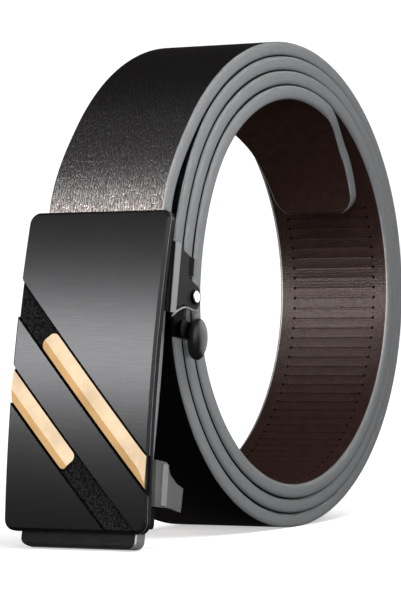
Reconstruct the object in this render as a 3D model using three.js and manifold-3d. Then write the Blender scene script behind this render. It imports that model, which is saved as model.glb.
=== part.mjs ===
// A ratchet belt, wound into a coil that stands on its edge with the buckle at the front.
// Millimetres, +Z up. X runs along the coil's axis, and the buckle's plate faces -Y.
import * as THREE from 'three';
import { mergeVertices } from 'three/addons/utils/BufferGeometryUtils.js';
import Module from 'manifold-3d';

const wasm = await Module();
wasm.setup();

// Strap
const strapWidth = 35;
const strapThickness = 3.6;
const strapEdgeRound = 0.7;
const innerEndCorner = 5.6;
const outerEndCorner = 2.6;
const tongueInset = 5.7;
const tongueShoulderInset = 3.8;

// Coil: angles in degrees about its axis, from the rear over the top to the front
const coilInnerRadius = 49.5;
const turnGap = 0.3;
const turnSideStep = 0.73;
const innerEndAngle = 25;
const leaveAngle = 3 * 360 + 138;
const tongueAngle = 72;
const tongueShoulderAngle = 45;
const innerEndLift = 3.2;
const innerEndCurl = 1.85;
const frontDent = 1.35;
const dentAngle = 165;
const dentSpread = 40;

// Plate
const plateWidth = 42;
const plateHeight = 81;
const plateThickness = 2.4;
const plateCurveRadius = 340;
const plateCorner = 2.8;
const plateChamfer = 0.7;
const plateLean = 10.8;
const plateDrop = 32.6;

// Slanting grooves with an inlay and a gold bar in each
const bandAngle = -46.9;
const grooveWidth = 6.8;
const grooveDepth = 1.6;
const grooveUpperOffset = -3.9;
const grooveSpacing = 22;
const inlayThickness = 0.5;
const goldBarWidth = 5.4;
const goldBarRise = 0.45;
const goldBarCorner = 1.6;
const goldUpperStart = -15.9;
const goldLowerEnd = -2.7;
const facetLength = 2.9;
const facetSlope = 19;

// Frame, clamp, lever and rivets
const sheet = 1.1;
const floorSheet = 0.8;
const floorHalfHeight = 34;
const runBow = 1.5;
const cheekBottom = 15;
const cheekHeight = 17.7;
const cheekDepth = 18.5;
const lipRise = 0.45;
const footLugDepth = 3.2;
const footLugHeight = 6;
const footLugReach = 5;
const footLugCorner = 1.2;
const footLugInset = 0.5;
const shaftRadius = 0.95;
const pawlLength = 4.5;
const pawlThickness = 1;
const pawlHalfWidth = 14;
const lobeFront = 3.2;
const lobeRear = 2.6;
const lobeDrop = 2.2;
const lobeCorner = 1.2;
const lobeInset = 0.5;
const armThickness = 1;
const armHeight = 4.5;
const armFrontReach = 2.4;
const armRearReach = 6.4;
const knobHalfHeight = 5.3;
const knobHalfDepth = 3.4;
const knobThickness = 2.5;
const knobReach = 4.2;
const knobDrop = 1.8;
const rivetHeadRadius = 1.9;
const rivetShankRadius = 0.9;
const rivetHeadThickness = 0.7;
const clampTop = -22;
const clampHeight = 11.5;
const clampDepth = 15;
const clampBarInset = 1;
const clampBarTopInset = 3;
const clampLipInset = 0.6;

// Clearances
const seatGap = 0.3;
const coilClearance = 1.3;
const sideClearance = 0.35;
const shaftClearance = 0.35;
const boreClearance = 0.25;

// How far joined bodies reach into each other
const overlap = 0.3;
const boreOverrun = 1;

const rad = THREE.MathUtils.degToRad;

// Radius of the strap's middle line at an angle of the coil
const turnOf = (angle) => (angle - innerEndAngle) / 360;
const turnPitch = strapThickness + turnGap;
function coilRadius(angle) {
  const fromFront = ((angle % 360) - dentAngle) / dentSpread;
  const dented = Math.abs(fromFront) < 1 && angle < 3 * 360;
  const dent = dented ? frontDent * Math.cos((fromFront * Math.PI) / 2) ** 2 : 0;
  const toInnerEnd = Math.max(0, (90 - angle) / (90 - innerEndAngle));
  const plain = coilInnerRadius + strapThickness / 2 + turnPitch * turnOf(angle);
  return plain - dent - innerEndLift * toInnerEnd ** innerEndCurl;
}
const coilBottomRadius = coilRadius(2 * 360 + 270) + strapThickness / 2;
const axisHeight = coilBottomRadius;

// Depths are measured behind the plane that touches the plate's middle
const plateSag = (height) => plateCurveRadius - Math.sqrt(plateCurveRadius ** 2 - height ** 2);
const plateBack = (height) => plateThickness + plateSag(height);
const plateHalf = plateHeight / 2;
const runFront = (height) => plateBack(plateHalf) + seatGap + runBow * (1 - (height / plateHalf) ** 2);
const runRear = (height) => runFront(height) + strapThickness;
const coilFrontRadius = coilRadius(2 * 360 + 180 - plateLean) + strapThickness / 2;
const axisDepth = coilFrontRadius + coilClearance + runRear(plateDrop);

// The buckle's own frame: x along the coil's axis, y up the plate, z out of its face
const up = new THREE.Vector2(Math.sin(rad(plateLean)), Math.cos(rad(plateLean)));
const out = new THREE.Vector2(-Math.cos(rad(plateLean)), Math.sin(rad(plateLean)));
const plateMiddle = new THREE.Vector2(0, axisHeight)
  .addScaledVector(up, -plateDrop)
  .addScaledVector(out, axisDepth);
function toWorld(height, depth, x = 0) {
  const place = plateMiddle.clone().addScaledVector(up, height).addScaledVector(out, -depth);
  return new THREE.Vector3(x, place.x, place.y);
}

const cheekInner = strapWidth / 2 + turnSideStep * 3 + sideClearance;
const cheekOuter = cheekInner + sheet;

// Where the shaft passes between the strap and the coil
const shaftRoom = 2 * (shaftRadius + shaftClearance);
const shaftReach = axisDepth - runRear(0) - shaftRoom;
const shaftHeight = plateDrop - Math.sqrt((coilFrontRadius + frontDent) ** 2 - shaftReach ** 2);
const shaftDepth = runRear(shaftHeight) + shaftClearance + shaftRadius;

// Solids and meshes
function toSolid(geometry) {
  const bare = geometry.clone();
  bare.deleteAttribute('normal');
  bare.deleteAttribute('uv');
  const merged = mergeVertices(bare, 1e-4);
  return new wasm.Manifold(new wasm.Mesh({
    numProp: 3,
    vertProperties: new Float32Array(merged.attributes.position.array),
    triVerts: new Uint32Array(merged.index.array),
  }));
}
function toGeometry(solid) {
  const mesh = solid.getMesh();
  const geometry = new THREE.BufferGeometry();
  geometry.setAttribute('position', new THREE.BufferAttribute(new Float32Array(mesh.vertProperties), 3));
  geometry.setIndex(new THREE.BufferAttribute(new Uint32Array(mesh.triVerts), 1));
  geometry.computeVertexNormals();
  return geometry;
}
const joined = (...geometries) => toGeometry(geometries.map(toSolid).reduce((a, b) => a.add(b)));
const common = (a, b) => toGeometry(toSolid(a).intersect(toSolid(b)));
const cut = (body, ...tools) => toGeometry(tools.map(toSolid).reduce((a, b) => a.subtract(b), toSolid(body)));

function finish(colour, roughness, metalness) {
  return new THREE.MeshStandardMaterial({ color: colour, roughness, metalness });
}
function addPiece(group, name, geometry, material) {
  const mesh = new THREE.Mesh(geometry, material);
  mesh.name = name;
  group.add(mesh);
}

// Outline helpers
function outline(points) {
  return new THREE.Shape(points.map(([x, y]) => new THREE.Vector2(x, y)));
}
function roundedBox(x0, y0, x1, y1, corner) {
  const shape = new THREE.Shape();
  shape.absarc(x1 - corner, y0 + corner, corner, -Math.PI / 2, 0);
  shape.absarc(x1 - corner, y1 - corner, corner, 0, Math.PI / 2);
  shape.absarc(x0 + corner, y1 - corner, corner, Math.PI / 2, Math.PI);
  shape.absarc(x0 + corner, y0 + corner, corner, Math.PI, Math.PI * 1.5);
  shape.closePath();
  return shape;
}

// A shape drawn in (depth, height), carried across the belt from x0 to x1
function acrossPrism(shape, x0, x1, curveSegments = 8) {
  const prism = new THREE.ExtrudeGeometry(shape, { depth: x1 - x0, bevelEnabled: false, curveSegments });
  return prism.rotateY(Math.PI / 2).translate(x0, 0, 0);
}
// A section drawn in (x, depth), carried up the plate in steps and then given the plate's curve
function curvedSlab(section, y0, y1, steps = 16) {
  const slab = new THREE.ExtrudeGeometry(section, { depth: y1 - y0, steps, bevelEnabled: false });
  return bend(slab.rotateX(-Math.PI / 2).translate(0, y0, 0));
}
function bend(geometry) {
  const position = geometry.attributes.position;
  for (let i = 0; i < position.count; i += 1) {
    position.setZ(i, position.getZ(i) - plateSag(position.getY(i)));
  }
  return geometry;
}

// Strap: one path from the inner end, round the coil, to the outer end behind the plate
class StrapPath extends THREE.CatmullRomCurve3 {
  computeFrenetFrames(segments) {
    const frames = { tangents: [], normals: [], binormals: [] };
    for (let i = 0; i <= segments; i += 1) {
      const tangent = this.getTangentAt(i / segments).setX(0).normalize();
      const across = new THREE.Vector3(1, 0, 0);
      frames.tangents.push(tangent);
      frames.normals.push(across);
      frames.binormals.push(new THREE.Vector3().crossVectors(tangent, across));
    }
    return frames;
  }
}
function strapPath() {
  const points = [];
  const coilSteps = 120;
  for (let i = 0; i <= coilSteps; i += 1) {
    const angle = innerEndAngle + ((leaveAngle - innerEndAngle) * i) / coilSteps;
    const radius = coilRadius(angle);
    const x = turnSideStep * (turnOf(leaveAngle) - turnOf(angle));
    const y = radius * Math.cos(rad(angle));
    points.push(new THREE.Vector3(x, y, axisHeight + radius * Math.sin(rad(angle))));
  }
  const runMiddle = (height) => toWorld(height, runFront(height) + strapThickness / 2);
  const runTop = plateHalf * 0.95;
  const start = points[points.length - 1];
  const end = runMiddle(runTop);
  const handle = start.distanceTo(end) * 0.34;
  const startWay = new THREE.Vector3(0, -Math.sin(rad(leaveAngle)), Math.cos(rad(leaveAngle)));
  const endWay = runMiddle(runTop).sub(runMiddle(runTop - 1)).normalize();
  const bridge = new THREE.CubicBezierCurve3(
    start,
    start.clone().addScaledVector(startWay, handle),
    end.clone().addScaledVector(endWay, handle),
    end,
  );
  points.push(...bridge.getPoints(6).slice(1));
  const floorHeight = (depth) => (-plateMiddle.y + depth * Math.sin(rad(plateLean))) / Math.cos(rad(plateLean));
  const runBottom = floorHeight(runRear(plateHalf));
  const runSteps = 8;
  for (let i = 1; i <= runSteps; i += 1) {
    points.push(runMiddle(runTop + ((runBottom - runTop) * i) / runSteps));
  }
  const path = new StrapPath(points);
  path.arcLengthDivisions = 4000;
  return path;
}
// How far the tongue's sides are drawn in: quickly at its shoulder, then slowly to its end
function tongueTaper(angle) {
  const share = THREE.MathUtils.smoothstep(tongueAngle - angle, 0, tongueAngle - tongueShoulderAngle);
  const toEnd = Math.max(0, (tongueShoulderAngle - angle) / (tongueShoulderAngle - innerEndAngle));
  return tongueShoulderInset * share + (tongueInset - tongueShoulderInset) * toEnd;
}
function taperTongue(geometry) {
  const position = geometry.attributes.position;
  for (let i = 0; i < position.count; i += 1) {
    const y = position.getY(i);
    const z = position.getZ(i) - axisHeight;
    const angle = THREE.MathUtils.radToDeg(Math.atan2(z, y));
    const inside = Math.hypot(y, z) < coilRadius(angle) + (strapThickness + turnGap) / 2;
    if (angle > 0 && angle < tongueAngle && inside) {
      const centre = turnSideStep * (turnOf(leaveAngle) - turnOf(angle));
      const narrow = 1 - tongueTaper(angle) / (strapWidth / 2);
      position.setX(i, centre + (position.getX(i) - centre) * narrow);
    }
  }
  return geometry;
}
function cornerCutter(edge, corner, side) {
  const shape = new THREE.Shape();
  shape.moveTo(edge - corner, -1);
  shape.lineTo(edge + 1, -1);
  shape.lineTo(edge + 1, corner);
  shape.lineTo(edge, corner);
  shape.absarc(edge - corner, corner, corner, 0, -Math.PI / 2, true);
  const points = shape.getPoints(5).map((point) => new THREE.Vector2(side * point.x, point.y));
  const depth = 3 * strapThickness;
  return new THREE.ExtrudeGeometry(new THREE.Shape(points), { depth, bevelEnabled: false })
    .translate(0, 0, -depth / 2);
}
function strap() {
  const path = strapPath();
  const half = strapThickness / 2;
  const section = roundedBox(-strapWidth / 2, -half, strapWidth / 2, half, strapEdgeRound);
  const steps = Math.round(path.getLength() / 5.5);
  const straight = new THREE.ExtrudeGeometry(section, { extrudePath: path, steps, curveSegments: 1 });
  const body = taperTongue(straight);
  const cutters = [];
  const outerEdge = strapWidth / 2;
  const ends = [
    { at: 0, into: 1, edge: outerEdge - tongueInset, corner: innerEndCorner },
    { at: 1, into: -1, edge: outerEdge, corner: outerEndCorner },
  ];
  for (const { at, into, edge, corner } of ends) {
    const inwards = path.getTangentAt(at).setX(0).normalize().multiplyScalar(into);
    const across = new THREE.Vector3(1, 0, 0);
    const frame = new THREE.Matrix4()
      .makeBasis(across, inwards, new THREE.Vector3().crossVectors(across, inwards))
      .setPosition(path.getPointAt(at));
    for (const side of [-1, 1]) {
      cutters.push(cornerCutter(edge, corner, side).applyMatrix4(frame));
    }
  }
  return cut(body, ...cutters);
}

// Plate with its two grooves, and what lies in them
function slab(halfWidth, front, back, chamfer = 0) {
  return outline([
    [-halfWidth, front + chamfer], [-halfWidth + chamfer, front], [halfWidth - chamfer, front],
    [halfWidth, front + chamfer], [halfWidth, back], [-halfWidth, back],
  ].filter(([x, y], i, all) => i === 0 || x !== all[i - 1][0] || y !== all[i - 1][1]));
}
function plateOutline(inset) {
  const x = plateWidth / 2 - inset;
  const y = plateHalf - inset;
  return roundedBox(-x, -y, x, y, plateCorner - inset);
}
function plateColumn(inset = 0) {
  return new THREE.ExtrudeGeometry(plateOutline(inset), { depth: 20, bevelEnabled: false, curveSegments: 6 })
    .translate(0, 0, -15);
}
// A straight bar along a band: its section is drawn in (across the band, depth)
function bandBar(section, offset, from, to) {
  const steps = 14;
  const bar = new THREE.ExtrudeGeometry(section, { depth: to - from, steps, bevelEnabled: false });
  bar.rotateX(-Math.PI / 2).translate(0, from, 0);
  bar.rotateZ(rad(bandAngle - 90)).translate(0, offset, 0);
  return bend(bar);
}
const bandReach = plateWidth;
const grooveOffsets = { upper: grooveUpperOffset, lower: grooveUpperOffset - grooveSpacing };
function facePlate() {
  const body = curvedSlab(slab(plateWidth / 2, 0, plateThickness, plateChamfer), -plateHalf, plateHalf);
  const half = grooveWidth / 2;
  const grooves = Object.values(grooveOffsets).map((offset) => (
    bandBar(slab(half, -1, grooveDepth), offset, -bandReach, bandReach)));
  return cut(common(body, plateColumn()), ...grooves);
}
function grooveInlay(offset) {
  const half = grooveWidth / 2 - seatGap;
  const floor = grooveDepth - seatGap;
  const strip = bandBar(slab(half, floor - inlayThickness, floor), offset, -bandReach, bandReach);
  return common(strip, plateColumn(plateChamfer));
}
// Its ridge lies below the middle, so that the upper face is the broad one
function goldBar(offset, from, to, ...cutters) {
  const half = goldBarWidth / 2;
  const foot = grooveDepth - 2 * seatGap - inlayThickness;
  const shoulder = foot * 0.35;
  const section = outline([
    [-half, foot], [-half, shoulder * 0.4], [half * 0.26, -goldBarRise], [half, shoulder], [half, foot],
  ]);
  const bar = bandBar(section, offset, from, to);
  const ends = new THREE.ExtrudeGeometry(
    roundedBox(from, -half, to, half, goldBarCorner), { depth: 20, bevelEnabled: false, curveSegments: 4 },
  ).translate(0, 0, -15).rotateZ(rad(bandAngle)).translate(0, offset, 0);
  return cut(common(common(bar, ends), plateColumn(plateChamfer)), ...cutters);
}
// Slants the end of the upper bar down towards the plate's right edge
function endFacetCutter() {
  const size = grooveSpacing;
  const x = plateWidth / 2 - facetLength;
  const y = grooveUpperOffset + x * Math.tan(rad(bandAngle));
  return new THREE.BoxGeometry(size, size, size)
    .translate(0, 0, size / 2)
    .rotateY(rad(facetSlope))
    .translate(x, y, goldBarRise - plateSag(y));
}

// Frame: a floor on the plate's back, and two cheeks that straddle the strap and the coil's edges
const frontEdge = (height) => plateBack(height) + seatGap;
const cheekTop = cheekBottom + cheekHeight;
// Cheek outline behind its front edge: shares of the cheek's height and depth, from the top down
const cheekOutline = [
  { height: 1, depth: 0.285 },
  { height: 0.925, depth: 0.3 },
  { height: 0.87, depth: 0.47 },
  { height: 0.86, depth: 0.51 },
  { height: 0.86, depth: 0.67 },
  { height: 0.61, depth: 0.7 },
  { height: 0.6, depth: 0.56 },
  { height: 0.55, depth: 0.55 },
];
const cheekFoot = [
  { height: 0.17, depth: 0.45 },
  { height: 0.12, depth: 0.33 },
  { height: 0.02, depth: 0.25 },
];
// Raised lip along the cheek's front
const lipOutline = [
  { height: 1, depth: 0.185 },
  { height: 0.05, depth: 0.24 },
  { height: 0, depth: 0.21 },
  { height: 0, depth: 0.11 },
  { height: 1, depth: 0.04 },
];
const bossHeight = cheekBottom + cheekHeight * 0.316;
const bossDepth = frontEdge(bossHeight) + cheekDepth * 0.7;
const bossRadius = cheekDepth * 0.18;
function cheekPoint(row) {
  const height = cheekBottom + cheekHeight * row.height;
  return [frontEdge(height) + cheekDepth * row.depth, height];
}
function cheekShape() {
  const points = [];
  for (let i = 0; i <= 6; i += 1) {
    const height = cheekBottom + (cheekHeight * i) / 6;
    points.push([frontEdge(height), height]);
  }
  points.push(...cheekOutline.map(cheekPoint));
  for (let turn = 60; turn >= -80; turn -= 20) {
    points.push([
      bossDepth + bossRadius * Math.cos(rad(turn)),
      bossHeight + bossRadius * Math.sin(rad(turn)),
    ]);
  }
  points.push(...cheekFoot.map(cheekPoint));
  return outline(points);
}
function shaftLobe() {
  const bottom = shaftHeight - lobeDrop;
  const top = cheekBottom + cheekHeight * 0.15;
  return roundedBox(shaftDepth - lobeFront, bottom, shaftDepth + lobeRear, top, lobeCorner);
}
function disc(depth, height, radius) {
  const shape = new THREE.Shape();
  shape.absarc(depth, height, radius, 0, Math.PI * 2);
  return shape;
}
function footLug() {
  const bottom = -floorHalfHeight - footLugReach;
  const front = frontEdge(bottom);
  return roundedBox(front, bottom, front + footLugDepth, bottom + footLugHeight, footLugCorner);
}
function buckleFrame() {
  const floor = curvedSlab(
    slab(cheekInner + overlap, plateThickness + seatGap, plateThickness + seatGap + floorSheet),
    -floorHalfHeight, floorHalfHeight, 12,
  );
  const parts = [floor];
  const bores = [];
  for (const side of [-1, 1]) {
    const span = (a, b) => (side > 0 ? [a, b] : [-b, -a]);
    parts.push(acrossPrism(cheekShape(), ...span(cheekInner, cheekOuter)));
    const lip = outline(lipOutline.map(cheekPoint));
    parts.push(acrossPrism(lip, ...span(cheekOuter - overlap, cheekOuter + lipRise)));
    parts.push(acrossPrism(shaftLobe(), ...span(cheekInner, cheekOuter - lobeInset), 4));
    parts.push(acrossPrism(footLug(), ...span(strapWidth / 2 + footLugInset, cheekInner - seatGap), 4));
    const through = span(cheekInner - boreOverrun, cheekOuter + boreOverrun);
    bores.push(acrossPrism(disc(shaftDepth, shaftHeight, shaftRadius + boreClearance), ...through, 8));
    const rivetBore = disc(bossDepth, bossHeight, rivetShankRadius + boreClearance);
    bores.push(acrossPrism(rivetBore, ...through, 7));
  }
  return cut(joined(...parts), ...bores);
}

// Clamp across the strap's rear, with an ear on each side
function strapClamp() {
  const bottom = clampTop - clampHeight;
  const middle = (clampTop + bottom) / 2;
  const rear = runRear(middle) + seatGap;
  const ear = outline([
    [frontEdge(clampTop) + floorSheet + seatGap, clampTop],
    [frontEdge(clampTop) + clampDepth * 0.43, clampTop],
    [frontEdge(clampTop) + clampDepth * 0.55, clampTop - clampHeight * 0.24],
    [frontEdge(clampTop) + clampDepth * 0.76, clampTop - clampHeight * 0.4],
    [frontEdge(clampTop) + clampDepth, clampTop - clampHeight * 0.48],
    [frontEdge(clampTop) + clampDepth * 0.97, bottom],
    [frontEdge(clampTop) + clampDepth * 0.6, bottom + clampHeight * 0.04],
    [frontEdge(bottom) + floorSheet + seatGap, bottom],
  ]);
  const bar = outline([
    [rear, bottom + clampBarInset], [rear + sheet, bottom + clampBarInset],
    [rear + sheet, clampTop - clampBarTopInset], [rear, clampTop - clampBarTopInset],
  ]);
  const lip = outline([
    [frontEdge(clampTop) + clampDepth * 0.27, clampTop - clampLipInset],
    [frontEdge(clampTop) + clampDepth * 0.43, clampTop - clampLipInset],
    [frontEdge(clampTop) + clampDepth * 0.45, bottom + clampLipInset],
    [frontEdge(clampTop) + clampDepth * 0.29, bottom + clampLipInset],
  ]);
  const parts = [acrossPrism(bar, -cheekInner - overlap, cheekInner + overlap)];
  for (const side of [-1, 1]) {
    const span = (a, b) => (side > 0 ? [a, b] : [-b, -a]);
    parts.push(acrossPrism(ear, ...span(cheekInner, cheekOuter)));
    parts.push(acrossPrism(lip, ...span(cheekOuter - overlap, cheekOuter + lipRise)));
  }
  return joined(...parts);
}

// Lever: a shaft through both cheeks with the pawl blade, and the arm with its knob outside the near one
function releaseLever() {
  const armInner = cheekOuter + seatGap;
  const armOuter = armInner + armThickness;
  const shaftShape = disc(shaftDepth, shaftHeight, shaftRadius);
  const shaft = acrossPrism(shaftShape, -cheekOuter - overlap, armInner + overlap, 8);
  const tip = runRear(shaftHeight - pawlLength) + seatGap;
  const blade = acrossPrism(outline([
    [shaftDepth - pawlThickness / 2, shaftHeight],
    [tip, shaftHeight - pawlLength],
    [tip + pawlThickness, shaftHeight - pawlLength],
    [shaftDepth + pawlThickness / 2, shaftHeight],
  ]), -pawlHalfWidth, pawlHalfWidth);
  const armFront = shaftDepth - armFrontReach;
  const armRear = shaftDepth + armRearReach;
  const armBottom = shaftHeight - lobeDrop;
  const arm = acrossPrism(
    roundedBox(armFront, armBottom, armRear, armBottom + armHeight, armHeight * 0.35),
    armInner, armOuter, 4,
  );
  const knobShape = new THREE.Shape();
  const domeSize = knobHalfDepth * 0.45;
  knobShape.absellipse(0, 0, knobHalfDepth - domeSize, knobHalfHeight - domeSize, 0, Math.PI * 2);
  const knob = new THREE.ExtrudeGeometry(knobShape, {
    depth: knobThickness * 0.4,
    bevelThickness: knobThickness * 0.5,
    bevelSize: domeSize,
    bevelSegments: 4,
    curveSegments: 8,
  });
  knob.rotateY(Math.PI / 2);
  knob.translate(armOuter + knobThickness * 0.4, 0, 0);
  knob.translate(0, shaftHeight - knobDrop, -(shaftDepth + knobReach));
  return joined(shaft, blade, arm, knob);
}

// Rivet with a low domed head outside the cheek
function rivet(side) {
  const inner = cheekInner + boreClearance;
  const seat = cheekOuter + seatGap;
  const top = seat + rivetHeadThickness;
  const profile = [
    new THREE.Vector2(0, inner),
    new THREE.Vector2(rivetShankRadius, inner),
    new THREE.Vector2(rivetShankRadius, seat),
    new THREE.Vector2(rivetHeadRadius, seat),
    new THREE.Vector2(rivetHeadRadius, seat + rivetHeadThickness * 0.4),
    new THREE.Vector2(rivetHeadRadius * 0.7, top),
    new THREE.Vector2(0, top),
  ];
  return new THREE.LatheGeometry(profile, 20)
    .rotateZ(side > 0 ? -Math.PI / 2 : Math.PI / 2)
    .translate(0, bossHeight, -bossDepth);
}

// Assembly
const black = finish(0x161616, 0.45, 0.6);
const gunmetal = finish(0x3a3a3c, 0.28, 0.95);
const gold = finish(0xd8ae72, 0.25, 1);
const silver = finish(0xe6e6e6, 0.2, 1);

const belt = new THREE.Group();
addPiece(belt, 'strap', strap(), finish(0x1c1a1a, 0.55, 0));

const buckle = new THREE.Group();
buckle.position.set(0, plateMiddle.x, plateMiddle.y);
buckle.rotation.x = rad(90 - plateLean);
belt.add(buckle);
addPiece(buckle, 'face_plate', facePlate(), gunmetal);
addPiece(buckle, 'groove_inlay_upper', grooveInlay(grooveOffsets.upper), finish(0x101010, 0.85, 0));
addPiece(buckle, 'groove_inlay_lower', grooveInlay(grooveOffsets.lower), finish(0x101010, 0.85, 0));
const goldUpper = goldBar(grooveOffsets.upper, goldUpperStart, bandReach, endFacetCutter());
const goldLower = goldBar(grooveOffsets.lower, -bandReach, goldLowerEnd);
addPiece(buckle, 'gold_bar_upper', goldUpper, gold);
addPiece(buckle, 'gold_bar_lower', goldLower, gold);
addPiece(buckle, 'buckle_frame', buckleFrame(), black);
addPiece(buckle, 'strap_clamp', strapClamp(), black);
addPiece(buckle, 'release_lever', releaseLever(), black);
addPiece(buckle, 'rivet_near', rivet(1), silver);
addPiece(buckle, 'rivet_far', rivet(-1), silver);

// The origin lies under the middle of the belt's box, on the floor
belt.updateMatrixWorld(true);
const box = new THREE.Box3().setFromObject(belt, true);
const middle = box.getCenter(new THREE.Vector3());
belt.position.set(-middle.x, -middle.y, -box.min.z);

export default belt;
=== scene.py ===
import math

import bmesh
import bpy
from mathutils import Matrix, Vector


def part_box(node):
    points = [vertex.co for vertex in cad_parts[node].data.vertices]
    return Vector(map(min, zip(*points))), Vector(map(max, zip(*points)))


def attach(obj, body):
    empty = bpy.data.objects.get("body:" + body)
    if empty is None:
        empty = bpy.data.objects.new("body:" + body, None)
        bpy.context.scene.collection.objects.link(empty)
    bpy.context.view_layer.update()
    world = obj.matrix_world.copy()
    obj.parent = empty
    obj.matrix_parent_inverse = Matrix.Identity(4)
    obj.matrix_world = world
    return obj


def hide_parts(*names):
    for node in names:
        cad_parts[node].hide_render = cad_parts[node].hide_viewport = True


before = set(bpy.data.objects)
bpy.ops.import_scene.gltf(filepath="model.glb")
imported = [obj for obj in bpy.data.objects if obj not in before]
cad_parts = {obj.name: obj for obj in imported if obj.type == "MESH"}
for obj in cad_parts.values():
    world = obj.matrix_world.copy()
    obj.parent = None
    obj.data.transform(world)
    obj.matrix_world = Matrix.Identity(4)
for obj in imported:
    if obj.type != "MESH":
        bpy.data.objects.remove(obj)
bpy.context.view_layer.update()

MM = 0.001

# Strap and coil, in millimetres and degrees
STRAP_WIDTH = 35
STRAP_THICKNESS = 3.6
EDGE_ROUND = 0.95
EDGE_SQUARENESS = 0.66
INNER_END_CORNER = 5.6
OUTER_END_CORNER = 2.6
COIL_INNER_RADIUS = 49.5
TURN_PITCH = STRAP_THICKNESS + 0.3
TURN_SIDE_STEP = 0.73
INNER_END_ANGLE = 25
LEAVE_ANGLE = 3 * 360 + 138
INNER_END_LIFT = 3.2
INNER_LIFT_FROM = 90
INNER_LIFT_POWER = 1.85
TONGUE_ANGLE = 72
TONGUE_SHOULDER_ANGLE = 45
TONGUE_INSET = 5.7
TONGUE_SHOULDER_INSET = 3.8
FRONT_DENT = 1.35
DENT_ANGLE = 165
DENT_SPREAD = 40
DENT_TURNS = 3
BRIDGE_PULL = 0.34
RUN_TOP_SHARE = 0.95
MATT_END_LENGTH = 40
COIL_STEPS = 1600
BRIDGE_STEPS = 60
RUN_STEPS = 100

# Plate and its grooves
PLATE_WIDTH = 42
PLATE_HALF = 40.5
PLATE_THICKNESS = 2.4
PLATE_CURVE = 340
PLATE_CORNER = 2.8
PLATE_RIM = 0.7
RIM_LINE = 0.16
LEAN_ANGLE = 10.8
PLATE_LEAN = math.radians(LEAN_ANGLE)
PLATE_DROP = 32.6
BAND_ANGLE = math.radians(-46.9)
GROOVE_WIDTH = 6.8
GROOVE_DEPTH = 1.6
GROOVE_OFFSETS = (-3.9, -25.9)
RUN_BOW = 1.5
SEAT_GAP = 0.3
COIL_CLEARANCE = 1.3
CHEEK_INNER = STRAP_WIDTH / 2 + 3 * TURN_SIDE_STEP + 0.35
CHEEK_OUTER = CHEEK_INNER + 1.1

# Cheeks and lever
CHEEK_BOTTOM = 15
CHEEK_HEIGHT = 17.7
CHEEK_DEPTH = 18.5
CHEEK_FOOT = ((0.13, 0.84), (0.135, 0.68), (0.14, 0.58), (0.13, 0.48), (0.09, 0.38), (0.03, 0.28), (-0.04, 0.19))
BEAD_RADIUS = 0.25
RIVET_HEIGHT_SHARE = 0.316
RIVET_DEPTH_SHARE = 0.7
RIVET_HEAD_RADIUS = 1.6
SHAFT_RADIUS = 0.95
SHAFT_CLEARANCE = 0.35
PAWL_LENGTH = 4.5
PAWL_HALF_WIDTH = 14
ARM_THICKNESS = 1
ARM_DROP = 2.2
ARM_HEIGHT = 4.5
ARM_FRONT = 2.4
ARM_REAR = 6.4
ARM_CORNER = 1.5
KNOB_REACH = 4.2
KNOB_DROP = 1.8
KNOB_HALF_DEPTH = 3.4
KNOB_HALF_HEIGHT = 5.3

# Cut rows across the strap's inner face
ROW_PITCH = 2.95
ROW_HALF_WIDTH = 12.6
ROW_LINE_HALF = 0.14
ROW_HOLE_RADIUS = 0.42
ROWS_FROM_ANGLE = 244
ROWS_TO_ANGLE = 385
ROW_PROFILE = ((-0.6, 0), (-0.35, 0), (-0.08, -0.03), (0.1, -0.03), (0.35, 0))
ROW_REACH = (0, 6, ROW_HALF_WIDTH)
ROW_PLACES = (
    -15, -ROW_HALF_WIDTH - 0.25, -ROW_HALF_WIDTH, -6, 0, 6, ROW_HALF_WIDTH, ROW_HALF_WIDTH + 0.25, 15,
)


def turn_of(angle):
    return (angle - INNER_END_ANGLE) / 360


def coil_radius(angle):
    """Radius of the strap's middle line."""
    from_front = (angle % 360 - DENT_ANGLE) / DENT_SPREAD
    dented = abs(from_front) < 1 and angle < DENT_TURNS * 360
    dent = FRONT_DENT * math.cos(from_front * math.pi / 2) ** 2 if dented else 0
    to_end = max(0, (INNER_LIFT_FROM - angle) / (INNER_LIFT_FROM - INNER_END_ANGLE))
    plain = COIL_INNER_RADIUS + STRAP_THICKNESS / 2 + TURN_PITCH * turn_of(angle)
    return plain - dent - INNER_END_LIFT * to_end ** INNER_LIFT_POWER


def tongue_taper(angle):
    """How far the inner end's sides are drawn in."""
    share = max(0.0, min(1.0, (TONGUE_ANGLE - angle) / (TONGUE_ANGLE - TONGUE_SHOULDER_ANGLE)))
    to_end = max(0.0, (TONGUE_SHOULDER_ANGLE - angle) / (TONGUE_SHOULDER_ANGLE - INNER_END_ANGLE))
    smooth = share * share * (3 - 2 * share)
    return TONGUE_SHOULDER_INSET * smooth + (TONGUE_INSET - TONGUE_SHOULDER_INSET) * to_end


def plate_sag(height):
    return PLATE_CURVE - math.sqrt(PLATE_CURVE ** 2 - height ** 2)


def plate_back(height):
    return PLATE_THICKNESS + plate_sag(height)


def run_front(height):
    return plate_back(PLATE_HALF) + SEAT_GAP + RUN_BOW * (1 - (height / PLATE_HALF) ** 2)


def run_rear(height):
    return run_front(height) + STRAP_THICKNESS


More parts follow.
